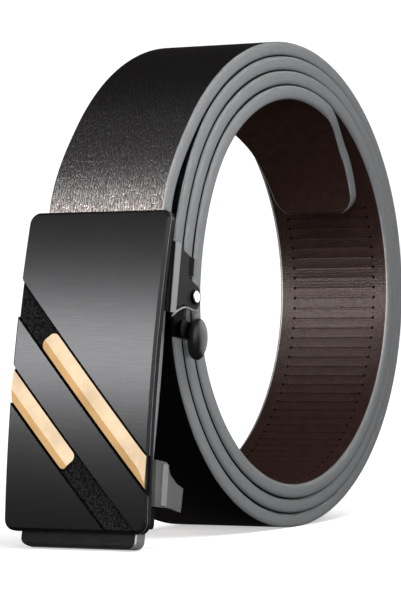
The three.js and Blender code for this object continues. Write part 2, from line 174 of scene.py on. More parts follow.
# Places in the frame: the coil's axis, and the middle of the plate
AXIS_Z = coil_radius(2 * 360 + 270) + STRAP_THICKNESS / 2
strap_low, strap_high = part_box("strap")
SHIFT_X = strap_low[0] / MM + STRAP_WIDTH / 2
SHIFT_Y = strap_high[1] / MM - coil_radius(3 * 360) - STRAP_THICKNESS / 2
UP = Vector((0, math.sin(PLATE_LEAN), math.cos(PLATE_LEAN)))
OUT = Vector((0, -math.cos(PLATE_LEAN), math.sin(PLATE_LEAN)))
AXIS = Vector((SHIFT_X, SHIFT_Y, AXIS_Z))
FRONT_RADIUS = coil_radius(2 * 360 + 180 - LEAN_ANGLE) + STRAP_THICKNESS / 2
AXIS_DEPTH = FRONT_RADIUS + COIL_CLEARANCE + run_rear(PLATE_DROP)
PLATE_MIDDLE = AXIS - PLATE_DROP * UP + AXIS_DEPTH * OUT


def at(height, depth, x=0.0):
    """A point of the buckle, from its height on the plate and its depth behind the plate's face."""
    return PLATE_MIDDLE + UP * height - OUT * depth + Vector((x, 0, 0))


# Strap path
def strap_line():
    """Points of the strap's middle line, from the inner end to the outer one."""
    points = []
    for i in range(COIL_STEPS + 1):
        angle = INNER_END_ANGLE + (LEAVE_ANGLE - INNER_END_ANGLE) * i / COIL_STEPS
        way = math.radians(angle)
        radius = coil_radius(angle)
        x = TURN_SIDE_STEP * (turn_of(LEAVE_ANGLE) - turn_of(angle))
        points.append(AXIS + Vector((x, radius * math.cos(way), radius * math.sin(way))))

    def run_middle(height):
        return at(height, run_front(height) + STRAP_THICKNESS / 2)

    run_top = PLATE_HALF * RUN_TOP_SHARE
    start, end = points[-1], run_middle(run_top)
    handle = (end - start).length * BRIDGE_PULL
    way = math.radians(LEAVE_ANGLE)
    first = start + Vector((0, -math.sin(way), math.cos(way))) * handle
    second = end + (run_middle(run_top) - run_middle(run_top - 1)).normalized() * handle
    for i in range(1, BRIDGE_STEPS + 1):
        t = i / BRIDGE_STEPS
        points.append(
            start * (1 - t) ** 3 + first * 3 * t * (1 - t) ** 2 + second * 3 * t * t * (1 - t) + end * t ** 3
        )
    floor_height = -(PLATE_MIDDLE.z - run_rear(PLATE_HALF) * math.sin(PLATE_LEAN)) / math.cos(PLATE_LEAN)
    for i in range(1, RUN_STEPS + 1):
        points.append(run_middle(run_top + (floor_height - run_top) * i / RUN_STEPS))
    return points


def lengths_along(points):
    lengths = [0.0]
    for a, b in zip(points, points[1:]):
        lengths.append(lengths[-1] + (b - a).length)
    return lengths


def sample(points, lengths, places):
    """(point, tangent) at each of the rising places along the line."""
    out = []
    i = 0
    for place in places:
        while i < len(lengths) - 2 and lengths[i + 1] < place:
            i += 1
        t = (place - lengths[i]) / (lengths[i + 1] - lengths[i])
        point = points[i].lerp(points[i + 1], t)
        before, after = points[max(0, i - 1)], points[min(len(points) - 1, i + 2)]
        tangent = after - before
        tangent.x = 0
        out.append((point, tangent.normalized()))
    return out


def length_at_angle(points, lengths, angle):
    share = (angle - INNER_END_ANGLE) / (LEAVE_ANGLE - INNER_END_ANGLE)
    return lengths[round(share * COIL_STEPS)]


def row_range():
    """How far along the strap the cut rows start and end, and where its matt outer end with its painted light starts.
    """
    points = strap_line()
    lengths = lengths_along(points)
    rows = [length_at_angle(points, lengths, angle) for angle in (ROWS_FROM_ANGLE, ROWS_TO_ANGLE)]
    return (*rows, lengths[-1] - MATT_END_LENGTH)


# Materials
def new_material(name):
    material = bpy.data.materials.new(name)
    material.use_nodes = True
    nodes = material.node_tree.nodes
    shader = nodes["Principled BSDF"]
    return material, nodes, material.node_tree.links, shader


def colours(nodes, *stops):
    ramp = nodes.new("ShaderNodeValToRGB")
    elements = ramp.color_ramp.elements
    while len(elements) < len(stops):
        elements.new(0.5)
    for element, (place, colour) in zip(elements, stops):
        element.position = place
        element.color = (*colour, 1) if len(colour) == 3 else colour
    return ramp


def ramped(links, value, socket, ramp):
    """Feeds a socket with a ramp's colours over a value."""
    links.new(value, ramp.inputs["Fac"])
    links.new(ramp.outputs["Color"], socket)


def mixed(nodes, links, share, under, tint):
    """A colour that goes over to a fixed tint as the share rises to one."""
    mix = nodes.new("ShaderNodeMixRGB")
    links.new(share, mix.inputs["Fac"])
    links.new(under, mix.inputs["Color1"])
    mix.inputs["Color2"].default_value = (*tint, 1)
    return mix.outputs["Color"]


def add_bump(nodes, links, shader, height, strength, distance):
    bump = nodes.new("ShaderNodeBump")
    bump.inputs["Strength"].default_value = strength
    bump.inputs["Distance"].default_value = distance * MM
    links.new(height, bump.inputs["Height"])
    links.new(bump.outputs["Normal"], shader.inputs["Normal"])


def noise(nodes, links, coordinates, scale, detail=3.0, roughness=0.55):
    made = nodes.new("ShaderNodeTexNoise")
    made.inputs["Scale"].default_value = scale
    made.inputs["Detail"].default_value = detail
    made.inputs["Roughness"].default_value = roughness
    links.new(coordinates, made.inputs["Vector"])
    return made.outputs["Fac"]


def scaled(nodes, links, coordinates, scale):
    mapping = nodes.new("ShaderNodeMapping")
    mapping.inputs["Scale"].default_value = scale
    links.new(coordinates, mapping.inputs["Vector"])
    return mapping.outputs["Vector"]


def maths(nodes, links, operation, a, b=None):
    made = nodes.new("ShaderNodeMath")
    made.operation = operation
    for socket, value in zip(made.inputs, (a, b)):
        if value is None:
            continue
        if isinstance(value, (int, float)):
            socket.default_value = value
        else:
            links.new(value, socket)
    return made.outputs["Value"]


def leather_outer():
    material, nodes, links, shader = new_material("leather_black")
    place = nodes.new("ShaderNodeTexCoord").outputs["UV"]
    creases = nodes.new("ShaderNodeTexVoronoi")
    creases.feature = "DISTANCE_TO_EDGE"
    creases.inputs["Scale"].default_value = 1.0
    bent = nodes.new("ShaderNodeVectorMath")
    bent.operation = "ADD"
    wander = nodes.new("ShaderNodeTexNoise")
    wander.inputs["Scale"].default_value = 0.8
    links.new(place, wander.inputs["Vector"])
    links.new(scaled(nodes, links, place, (0.42, 1.6, 1)), bent.inputs[0])
    links.new(wander.outputs["Color"], bent.inputs[1])
    links.new(bent.outputs["Vector"], creases.inputs["Vector"])
    fine = noise(nodes, links, scaled(nodes, links, place, (0.35, 1.3, 1)), 1.6, 4)
    cells = maths(nodes, links, "MINIMUM", creases.outputs["Distance"], 0.16)
    height = maths(nodes, links, "ADD", maths(nodes, links, "MULTIPLY", cells, 3.0), fine)
    add_bump(nodes, links, shader, height, 0.8, 0.12)
    tint = colours(nodes, (0.3, (0.001, 0.001, 0.0011)), (0.75, (0.0024, 0.0024, 0.0026)))
    links.new(noise(nodes, links, place, 0.6, 5), tint.inputs["Fac"])
    parts = nodes.new("ShaderNodeSeparateXYZ")
    links.new(place, parts.inputs["Vector"])
    # From END_FROM on, the outer end gets a lighter grey tint as painted light on the strap's end, and almost no
    # sheen.
    at_end = maths(nodes, links, "GREATER_THAN", parts.outputs["X"], END_FROM)
    painted_light = mixed(nodes, links, at_end, tint.outputs["Color"], (0.022, 0.022, 0.023))
    links.new(painted_light, shader.inputs["Base Color"])
    ramped(links, fine, shader.inputs["Roughness"], colours(nodes, (0.2, (0.3,) * 3), (0.8, (0.42,) * 3)))
    shine = maths(nodes, links, "SUBTRACT", 0.15, maths(nodes, links, "MULTIPLY", at_end, 0.149))
    links.new(shine, shader.inputs["Specular IOR Level"])
    return material


def leather_inner():
    """Brown grain side, with painted shade along each cut row: a dark line on the cut and a dark dot for the hole at
    each end.
    """
    material, nodes, links, shader = new_material("leather_brown")
    place = nodes.new("ShaderNodeTexCoord").outputs["UV"]
    parts = nodes.new("ShaderNodeSeparateXYZ")
    links.new(place, parts.inputs["Vector"])
    length, across = parts.outputs["X"], parts.outputs["Y"]
    wobble = maths(nodes, links, "MULTIPLY", noise(nodes, links, place, 0.5), 1.2)

    def ripple(socket, pitch):
        moved = maths(nodes, links, "ADD", socket, wobble)
        return maths(nodes, links, "SINE", maths(nodes, links, "MULTIPLY", moved, 2 * math.pi / pitch))

    grid = maths(nodes, links, "ADD", maths(nodes, links, "MULTIPLY", ripple(length, 0.8), 0.45), ripple(across, 0.8))
    fine = noise(nodes, links, place, 1.6, 5)
    height = maths(nodes, links, "ADD", maths(nodes, links, "MULTIPLY", grid, 0.16), fine)
    add_bump(nodes, links, shader, height, 0.6, 0.12)
    tint = colours(nodes, (0.25, (0.014, 0.0068, 0.0054)), (0.8, (0.034, 0.0175, 0.0145)))
    blotches = maths(nodes, links, "MULTIPLY", noise(nodes, links, place, 0.35, 6), 0.6)
    links.new(maths(nodes, links, "ADD", blotches, maths(nodes, links, "MULTIPLY", fine, 0.4)), tint.inputs["Fac"])

    # Painted shade of the cuts and their end holes: dark lines and dots in the colour, with the sheen taken off
    # there.
    from_first = maths(nodes, links, "SUBTRACT", length, ROWS_FROM + ROW_PITCH / 2)
    to_row = maths(nodes, links, "ABSOLUTE", maths(
        nodes, links, "SUBTRACT", maths(nodes, links, "FLOORED_MODULO", from_first, ROW_PITCH), ROW_PITCH / 2))
    from_middle = maths(nodes, links, "ABSOLUTE", across)
    on_line = maths(
        nodes, links, "MULTIPLY", maths(nodes, links, "LESS_THAN", to_row, ROW_LINE_HALF),
        maths(nodes, links, "LESS_THAN", from_middle, ROW_HALF_WIDTH))
    to_end = maths(nodes, links, "SUBTRACT", from_middle, ROW_HALF_WIDTH)
    apart = maths(nodes, links, "SQRT", maths(
        nodes, links, "ADD", maths(nodes, links, "POWER", to_row, 2.0), maths(
            nodes, links, "MULTIPLY", to_end, to_end)))
    painted_hole_shade = maths(nodes, links, "LESS_THAN", apart, ROW_HOLE_RADIUS)
    painted_cut_shade = maths(nodes, links, "MAXIMUM", maths(nodes, links, "MULTIPLY", on_line, 0.55), painted_hole_shade)
    painted_cut_shade = maths(nodes, links, "MULTIPLY", painted_cut_shade, between(nodes, links, length, ROWS_FROM - 1, ROWS_TO + 1))
    cut_shade_colour = mixed(nodes, links, painted_cut_shade, tint.outputs["Color"], (0.003, 0.002, 0.002))
    links.new(cut_shade_colour, shader.inputs["Base Color"])
    ramped(links, fine, shader.inputs["Roughness"], colours(nodes, (0.2, (0.3,) * 3), (0.8, (0.42,) * 3)))
    outside_cut_shade = maths(nodes, links, "SUBTRACT", 1.0, painted_cut_shade)
    links.new(maths(nodes, links, "MULTIPLY", outside_cut_shade, 0.012), shader.inputs["Specular IOR Level"])
    return material


def edge_paint():
    material, nodes, links, shader = new_material("edge_paint")
    place = nodes.new("ShaderNodeTexCoord").outputs["UV"]
    streaks = noise(nodes, links, scaled(nodes, links, place, (0.25, 2.5, 1)), 1.0, 5)
    tint = colours(nodes, (0.3, (0.14, 0.146, 0.15)), (0.7, (0.175, 0.182, 0.188)))
    ramped(links, streaks, shader.inputs["Base Color"], tint)
    shader.inputs["Roughness"].default_value = 0.55
    shader.inputs["Specular IOR Level"].default_value = 0.2
    add_bump(nodes, links, shader, noise(nodes, links, place, 2.5, 3), 0.35, 0.04)
    return material


def brushed_metal(name, base, rough, streak_scale, anisotropic=0.0, bump=0.05):
    material, nodes, links, shader = new_material(name)
    place = nodes.new("ShaderNodeTexCoord").outputs["UV"]
    streaks = noise(nodes, links, scaled(nodes, links, place, streak_scale), 1.0, 5, 0.6)
    dark = tuple(0.86 * part for part in base)
    light = tuple(min(1, 1.1 * part) for part in base)
    ramped(links, streaks, shader.inputs["Base Color"], colours(nodes, (0.3, dark), (0.7, light)))
    shade = colours(nodes, (0.25, (rough * 0.97,) * 3), (0.75, (rough * 1.03,) * 3))
    ramped(links, streaks, shader.inputs["Roughness"], shade)
    shader.inputs["Metallic"].default_value = 1
    shader.inputs["Anisotropic"].default_value = anisotropic
    add_bump(nodes, links, shader, streaks, 0.4, bump)
    return material


def satin_metal(name, base, rough, metallic=0.6, grain=1200.0):
    material, nodes, links, shader = new_material(name)
    place = nodes.new("ShaderNodeTexCoord").outputs["Object"]
    speckle = noise(nodes, links, place, grain, 4)
    broad = noise(nodes, links, place, 90.0, 4)
    tint = colours(nodes, (0.3, tuple(0.8 * part for part in base)), (0.75, tuple(1.15 * part for part in base)))
    ramped(links, broad, shader.inputs["Base Color"], tint)
    shade = colours(nodes, (0.25, (rough * 0.85,) * 3), (0.75, (min(1, rough * 1.15),) * 3))
    ramped(links, speckle, shader.inputs["Roughness"], shade)
    shader.inputs["Metallic"].default_value = metallic
    add_bump(nodes, links, shader, speckle, 0.3, 0.04)
    return material


def along(nodes, links, way, zero):
    """Millimetres from a point along a direction, at each place of a CAD node."""
    place = nodes.new("ShaderNodeTexCoord").outputs["Object"]
    dot = nodes.new("ShaderNodeVectorMath")
    dot.operation = "DOT_PRODUCT"
    links.new(place, dot.inputs[0])
    dot.inputs[1].default_value = [part / MM for part in way]
    return maths(nodes, links, "SUBTRACT", dot.outputs["Value"], zero.dot(way))


def between(nodes, links, value, low, high):
    return maths(
        nodes, links, "MULTIPLY",
        maths(nodes, links, "GREATER_THAN", value, low), maths(nodes, links, "LESS_THAN", value, high),
    )


def zoned_metal(name, base, lip, zones, rough, metallic=0.5):
    """Satin metal with a lighter raised lip, and zones of a set tint between heights and depths on the plate, which
    can carry painted shade.
    """
    material, nodes, links, shader = new_material(name)
    place = nodes.new("ShaderNodeTexCoord").outputs["Object"]
    speckle = noise(nodes, links, place, 1300, 4)
    height = along(nodes, links, UP, PLATE_MIDDLE)
    depth = along(nodes, links, -OUT, PLATE_MIDDLE)
    sideways = maths(nodes, links, "ABSOLUTE", along(nodes, links, Vector((1, 0, 0)), PLATE_MIDDLE))

    def greyed(share, under, tint):
        return mixed(nodes, links, share, under, (tint, tint, tint * 1.02))

    ground = colours(nodes, (0.3, (base * 0.85,) * 3), (0.75, (base * 1.15,) * 3))
    links.new(noise(nodes, links, place, 150, 4), ground.inputs["Fac"])
    colour = ground.outputs["Color"]
    for heights, depths, tint in zones:
        inside = maths(
            nodes, links, "MULTIPLY",
            between(nodes, links, height, *heights), between(nodes, links, depth, *depths),
        )
        colour = greyed(inside, colour, tint)
    colour = greyed(maths(nodes, links, "GREATER_THAN", sideways, CHEEK_OUTER + 0.2), colour, lip)
    links.new(colour, shader.inputs["Base Color"])
    shade = colours(nodes, (0.25, (rough * 0.85,) * 3), (0.75, (min(1, rough * 1.15),) * 3))
    ramped(links, speckle, shader.inputs["Roughness"], shade)
    shader.inputs["Metallic"].default_value = metallic
    shader.inputs["Specular IOR Level"].default_value = 0.15
    add_bump(nodes, links, shader, speckle, 0.3, 0.04)
    return material


def textured_inlay():
    material, nodes, links, shader = new_material("inlay_black")
    place = nodes.new("ShaderNodeTexCoord").outputs["Object"]
    cells = nodes.new("ShaderNodeTexVoronoi")
    cells.inputs["Scale"].default_value = 1700
    links.new(place, cells.inputs["Vector"])
    add_bump(nodes, links, shader, cells.outputs["Distance"], 1.0, 0.25)
    tint = colours(nodes, (0.2, (0.03, 0.03, 0.032)), (0.7, (0.006, 0.006, 0.006)))
    ramped(links, cells.outputs["Distance"], shader.inputs["Base Color"], tint)
    shader.inputs["Roughness"].default_value = 0.5
    return material


ROWS_FROM, ROWS_TO, END_FROM = row_range()
LEATHER_OUT = leather_outer()
LEATHER_IN = leather_inner()
EDGE = edge_paint()
GUNMETAL = brushed_metal("gunmetal", (0.36, 0.36, 0.37), 0.25, (0.09, 6.0, 1), bump=0.0001)
GUNMETAL_RIM = satin_metal("gunmetal_rim", (0.02, 0.02, 0.021), 0.22, 0.6)
GOLD = satin_metal("champagne_gold", (0.92, 0.70, 0.47), 0.2, 1.0)
INLAY = textured_inlay()
KNOB_BLACK = satin_metal("knob_black", (0.006, 0.006, 0.0062), 0.3, 0.0)
ARM_BLACK = satin_metal("arm_black", (0.002, 0.002, 0.002), 0.5, 0.9)
# Light grey for painted highlights: the plate's thin rim line and the cheeks' rolled edges.
PAINTED_HIGHLIGHT_GREY = satin_metal("painted_highlight_grey", (0.3, 0.3, 0.305), 0.4, 0.5)
# The first zone, next to the plate's back, is near-black painted shade on the cheeks' front. The zone at heights 9 to
# 17.2, the tab and everything below height 15.2 are near black too, and the tab's rear part is a lighter grey.
FRAME_METAL = zoned_metal(
    "frame_black", 0.036, 0.32,
    (((-45, 50), (-5, 6.2), 0.003), ((9, 17.2), (6.2, 13), 0.003), ((25.5, 30.5), (12.6, 20), 0.004),
     ((25.5, 30.5), (15.1, 20), 0.2), ((-45, 15.2), (-5, 20), 0.003)),
    0.4,
)
CLAMP_METAL = zoned_metal("clamp_grey", 0.15, 0.3, (), 0.42)


def rivet_metal():
    """Bright head with a dark ring round it."""
    material, nodes, links, shader = new_material("rivet_silver")
    height = along(nodes, links, UP, PLATE_MIDDLE + RIVET_HEIGHT * UP)
    depth = along(nodes, links, -OUT, PLATE_MIDDLE - RIVET_DEPTH * OUT)
    spread = maths(nodes, links, "ADD", maths(
        nodes, links, "MULTIPLY", height, height), maths(nodes, links, "MULTIPLY", depth, depth))
    place = nodes.new("ShaderNodeTexCoord").outputs["Object"]
    shine = colours(nodes, (0.3, (0.8, 0.8, 0.81)), (0.7, (0.9, 0.9, 0.91)))
    links.new(noise(nodes, links, place, 400, 3), shine.inputs["Fac"])
    on_ring = maths(nodes, links, "GREATER_THAN", spread, RIVET_HEAD_RADIUS ** 2)
    ringed = mixed(nodes, links, on_ring, shine.outputs["Color"], (0.006, 0.006, 0.006))
    links.new(ringed, shader.inputs["Base Color"])
    shader.inputs["Metallic"].default_value = 1
    shader.inputs["Roughness"].default_value = 0.28
    return material


RIVET_HEIGHT = CHEEK_BOTTOM + RIVET_HEIGHT_SHARE * CHEEK_HEIGHT
RIVET_DEPTH = plate_back(RIVET_HEIGHT) + SEAT_GAP + RIVET_DEPTH_SHARE * CHEEK_DEPTH
RIVET_METAL = rivet_metal()


# Mesh helpers
def make_object(name, mesh, materials, body, *nodes, slot=None):
    for material in materials:
        mesh.materials.append(material)
    made = bpy.data.objects.new(name, mesh)
    bpy.context.scene.collection.objects.link(made)
    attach(made, body)
    if nodes:
        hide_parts(*nodes)
    return made


def soften(made, width, segments=2, angle=30):
    """Rounds a piece's hard edges by that many millimetres."""
    bevel = made.modifiers.new("round", "BEVEL")
    bevel.width = width * MM
    bevel.segments = segments
    bevel.limit_method = "ANGLE"
    bevel.angle_limit = math.radians(angle)
    bevel.harden_normals = True
    for face in made.data.polygons:
        face.use_smooth = True
    made.data.set_sharp_from_angle(angle=math.radians(40))


def skin(mesh, rings, material_index=0, smooth=False):
    """Faces from ring to ring, and one over each end."""
    for a, b in zip(rings, rings[1:]):
        for i in range(len(a)):
            j = (i + 1) % len(a)
            face = mesh.faces.new((a[i], a[j], b[j], b[i]))
            face.material_index = material_index
            face.smooth = smooth
    mesh.faces.new(rings[0][::-1]).material_index = material_index
    mesh.faces.new(rings[-1]).material_index = material_index


def finished(mesh, name):
    """The mesh data of a finished build, with its faces turned outwards."""
    bmesh.ops.recalc_face_normals(mesh, faces=mesh.faces)
    data = bpy.data.meshes.new(name)
    mesh.to_mesh(data)
    mesh.free()
    return data


# Strap
def end_inset(distance, corner):
    """How far a rounded corner draws the side in, at a distance from the end."""
    if distance >= corner:
        return 0.0
    return corner - math.sqrt(max(0.0, corner ** 2 - (corner - distance) ** 2))


def strap_section():
    """(across, through, face) round the strap: the face that starts at each point is outer 0, inner 1 or edge 2."""
    half, thick = STRAP_WIDTH / 2, STRAP_THICKNESS / 2
    section = []

    def side(sign):
        rounds = 14
        for i in range(rounds + 1):
            turn = math.radians(-90 + 180 * i / rounds)
            crown = abs(math.cos(turn)) ** EDGE_SQUARENESS
            through = math.copysign(abs(math.sin(turn)) ** EDGE_SQUARENESS, turn)
            face = 0 if sign < 0 and i < 4 else 2
            section.append((sign * (half - EDGE_ROUND * (1 - crown)), sign * thick * through, face))

    side(1)
    section[-1] = (*section[-1][:2], 0)
    section.extend([(across, thick, 0) for across in (14, 7, 0, -7, -14)])
    side(-1)
    section[-1] = (*section[-1][:2], 1)
    section.extend([(across, -thick, 1) for across in ROW_PLACES])
    return section


def strap_mesh():
    points = strap_line()
    lengths = lengths_along(points)
    total = lengths[-1]
    tongue_to = length_at_angle(points, lengths, TONGUE_ANGLE)
    relief = {}
    row = ROWS_FROM
    while row < ROWS_TO:
        for offset, depth in ROW_PROFILE:
            relief[round(row + offset, 4)] = depth
        row += ROW_PITCH
    ends = []
    for i in range(9):
        share = 1 - math.cos(math.radians(90) * i / 8)
        ends.append(round(INNER_END_CORNER * share, 4))
        ends.append(round(total - OUTER_END_CORNER * share, 4))
    ends.extend([0.1, 0.3, 0.7, total - 0.7, total - 0.3, total - 0.1])
    plain = [i * 2.0 for i in range(int(total / 2) + 1) if not ROWS_FROM - 1 < i * 2.0 < ROWS_TO + 1]
    places = sorted(set(plain) | set(relief) | set(ends))
    places = [place for i, place in enumerate(places) if i == 0 or place - places[i - 1] > 0.02]
    section = strap_section()
    half = STRAP_WIDTH / 2
    mesh = bmesh.new()
    layer = mesh.loops.layers.uv.new("UVMap")
    rings = []
    for place, (point, tangent) in zip(places, sample(points, lengths, places)):
        through_way = tangent.cross(Vector((1, 0, 0)))
        taper = 0.0
        if place < tongue_to:
            spot = point - AXIS
            taper = tongue_taper(math.degrees(math.atan2(spot.z, spot.y)))
        inset = max(end_inset(place, INNER_END_CORNER), end_inset(total - place, OUTER_END_CORNER))
        thin = max(end_inset(place, EDGE_ROUND), end_inset(total - place, EDGE_ROUND))
        ring = []
        for across, through, face in section:
            reach = abs(across)
            if inset or taper:
                reach = min(reach, half - taper - inset - (half - reach) * 0.4)
            x = math.copysign(max(0.0, reach), across)
            y = math.copysign(abs(through) * (1 - thin / (STRAP_THICKNESS / 2)), through)
            if through < 0 and abs(across) in ROW_REACH:
                y -= relief.get(place, 0)
            ring.append(mesh.verts.new((point + Vector((x, 0, 0)) + through_way * y) * MM))
        rings.append(ring)
    count = len(section)
    around = [0.0]
    for (a, b, _), (c, d, _) in zip(section, section[1:] + section[:1]):
        around.append(around[-1] + math.hypot(c - a, d - b))
    middle = around[next(i for i, (across, _, face) in enumerate(section) if across == 0 and face == 1)]
    for k in range(len(rings) - 1):
        for i in range(count):
            j = (i + 1) % count
            face = mesh.faces.new((rings[k][i], rings[k + 1][i], rings[k + 1][j], rings[k][j]))
            face.material_index = section[i][2]
            face.smooth = True
            spots = ((k, i), (k + 1, i), (k + 1, i + 1), (k, i + 1))
            for loop, (along, side) in zip(face.loops, spots):
                loop[layer].uv = (places[along], around[side] - middle)
    for ring in (rings[0], rings[-1][::-1]):
        cap = mesh.faces.new(ring)
        cap.material_index = 2
    return finished(mesh, "strap_leather")


strap = make_object("strap_leather", strap_mesh(), (LEATHER_OUT, LEATHER_IN, EDGE), "belt", "strap", slot="strap")


# Face plate
def rounded_outline(half_width, half_height, corner, segments=8):
    points = []
    for sign_x, sign_y, start in ((1, -1, -90), (1, 1, 0), (-1, 1, 90), (-1, -1, 180)):
        for i in range(segments + 1):
            turn = math.radians(start + 90 * i / segments)
            points.append((
                sign_x * (half_width - corner) + corner * math.cos(turn),
                sign_y * (half_height - corner) + corner * math.sin(turn),
            ))
    return points


def plate_mesh():
    """A curved slab with a dark chamfer round its face, and a thin painted highlight line in light grey outside that.
    """
    mesh = bmesh.new()
    layer = mesh.loops.layers.uv.new("UVMap")
    outline = rounded_outline(PLATE_WIDTH / 2, PLATE_HALF, PLATE_CORNER)

    def subdivided(points, step=1.5):
        out = []
        for (a, b), (c, d) in zip(points, points[1:] + points[:1]):
            parts = max(1, round(math.hypot(c - a, d - b) / step))
            out.extend([(a + (c - a) * i / parts, b + (d - b) * i / parts) for i in range(parts)])
        return out

    outer_points = subdivided(outline)
    face_points = []
    for x, y in outer_points:
        # the matching point a chamfer's width further in
        inside_x = PLATE_WIDTH / 2 - PLATE_CORNER
        inside_y = PLATE_HALF - PLATE_CORNER
        core_x = max(-inside_x, min(inside_x, x))
        core_y = max(-inside_y, min(inside_y, y))
        way = Vector((x - core_x, y - core_y))
        away = way.normalized() * PLATE_RIM if way.length > 1e-6 else Vector((0, 0))
        face_points.append((x - away.x, y - away.y))

    def vert(x, y, depth):
        return mesh.verts.new(at(y, depth + plate_sag(y), x) * MM)

    back = [vert(x, y, PLATE_THICKNESS) for x, y in outer_points]
    side = [vert(x, y, PLATE_RIM + RIM_LINE) for x, y in outer_points]
    painted_light = [vert(x, y, PLATE_RIM) for x, y in outer_points]
    front = [vert(x, y, 0) for x, y in face_points]
    n = len(outer_points)
    for i in range(n):
        j = (i + 1) % n
        wall = mesh.faces.new((back[i], back[j], side[j], side[i]))
        # The thin band between the side ring and the chamfer's outer ring is a painted highlight in light grey.
        edge = mesh.faces.new((side[i], side[j], painted_light[j], painted_light[i]))
        chamfer = mesh.faces.new((painted_light[i], painted_light[j], front[j], front[i]))
        wall.material_index = 1
        edge.material_index = 2
        chamfer.material_index = 1
    face = mesh.faces.new(front)
    rear = mesh.faces.new(back[::-1])
    face.material_index = 0
    rear.material_index = 1
    # lines across the slab, so that its face can take the plate's curve
    for height in range(-39, 40):
        origin = at(height, 0) * MM
        geometry = mesh.verts[:] + mesh.edges[:] + mesh.faces[:]
        bmesh.ops.bisect_plane(mesh, geom=geometry, plane_co=origin, plane_no=UP)
    for v in mesh.verts:
        # put each vertex of the face on its arc
        place = Vector(v.co) / MM - PLATE_MIDDLE
        height = place.dot(UP)
        depth = -place.dot(OUT)
        middle = depth - plate_sag(height)
        if abs(middle) < 0.6 and v.link_faces and any(f.material_index == 0 for f in v.link_faces):
            v.co = at(height, plate_sag(height), place.x) * MM
    for f in mesh.faces:
        if f.material_index == 0:
            f.smooth = True
        for loop in f.loops:
            place = loop.vert.co / MM - PLATE_MIDDLE
            loop[layer].uv = (place.x, place.dot(UP))
    return finished(mesh, "plate_shell")


def band_point(offset, along, across):
    """(x, height) of a point on a band, from its place along and across it."""
    x = along * math.cos(BAND_ANGLE) - across * math.sin(BAND_ANGLE)
    y = along * math.sin(BAND_ANGLE) + across * math.cos(BAND_ANGLE) + offset
    return x, y


def band_cutter(offset):
    """A closed bar along a band, which cuts its groove."""
    mesh = bmesh.new()
    rings = []
    half = GROOVE_WIDTH / 2
    steps = 60
    for i in range(steps + 1):
        along = -45 + 90 * i / steps
        ring = []
        for across, depth in ((-half, -2), (half, -2), (half, GROOVE_DEPTH), (-half, GROOVE_DEPTH)):
            x, y = band_point(offset, along, across)
            ring.append(mesh.verts.new(at(y, depth + plate_sag(y), x) * MM))
        rings.append(ring)
    skin(mesh, rings)
    data = finished(mesh, "groove_cutter")
    data.materials.append(GUNMETAL)
    data.materials.append(GUNMETAL_RIM)
    for face in data.polygons:
        face.material_index = 1
    return bpy.data.objects.new("groove_cutter", data)


PLATE_METALS = (GUNMETAL, GUNMETAL_RIM, PAINTED_HIGHLIGHT_GREY)
plate = make_object("plate_shell", plate_mesh(), PLATE_METALS, "belt", "face_plate", slot="face_plate")
for offset in GROOVE_OFFSETS:
    cutter = band_cutter(offset)
    bpy.context.scene.collection.objects.link(cutter)
    cut = plate.modifiers.new("groove", "BOOLEAN")
    cut.operation = "DIFFERENCE"
    cut.solver = "EXACT"
    cut.object = cutter
    with bpy.context.temp_override(object=plate, active_object=plate, selected_objects=[plate]):
        bpy.context.view_layer.objects.active = plate
        bpy.ops.object.modifier_apply(modifier=cut.name)
    bpy.data.objects.remove(cutter)
plate.data.set_sharp_from_angle(angle=math.radians(20))


# Release lever: shaft and pawl, arm, and a domed knob
def prism(mesh, outline, x0, x1):
    """A closed prism across the belt, from an outline of (depth, height) points."""
    skin(mesh, [[mesh.verts.new(at(height, depth, x) * MM) for depth, height in outline] for x in (x0, x1)])


def ring(depth, height, half_depth, half_height, count=40):
    turns = [2 * math.pi * i / count for i in range(count)]
    return [(depth + half_depth * math.cos(turn), height + half_height * math.sin(turn)) for turn in turns]


